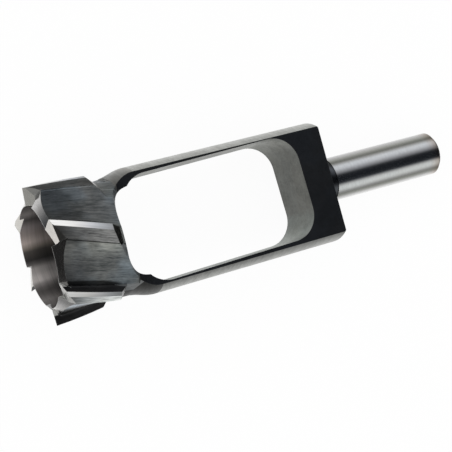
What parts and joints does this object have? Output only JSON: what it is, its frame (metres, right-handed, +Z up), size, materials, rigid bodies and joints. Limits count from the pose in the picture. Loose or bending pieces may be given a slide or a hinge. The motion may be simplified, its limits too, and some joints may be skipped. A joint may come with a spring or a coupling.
{
  "type": "plug cutter",
  "caption": "Hollow toothed steel head on a windowed flat-sided yoke with a plain round shank, for cutting round wooden plugs in a drill press.",
  "frame": {"origin": "centre of the cutting rim, on the tool's own axis at the inner cutting corners", "axes": "the tool lies as it rests on a bench: its axis runs in the XZ plane from the cutting rim at the origin towards +X and falls 6.18 degrees to the shank end, +Z is up, and the window faces up and down"},
  "size_m": [0.1314, 0.0384, 0.0377],
  "materials": {
    "tool_steel": "satin, milled and ground, with darkened flats and flutes"
  },
  "bodies": {
    "root": {"plug_cutter": "tool_steel"}
  },
  "joints": []
}
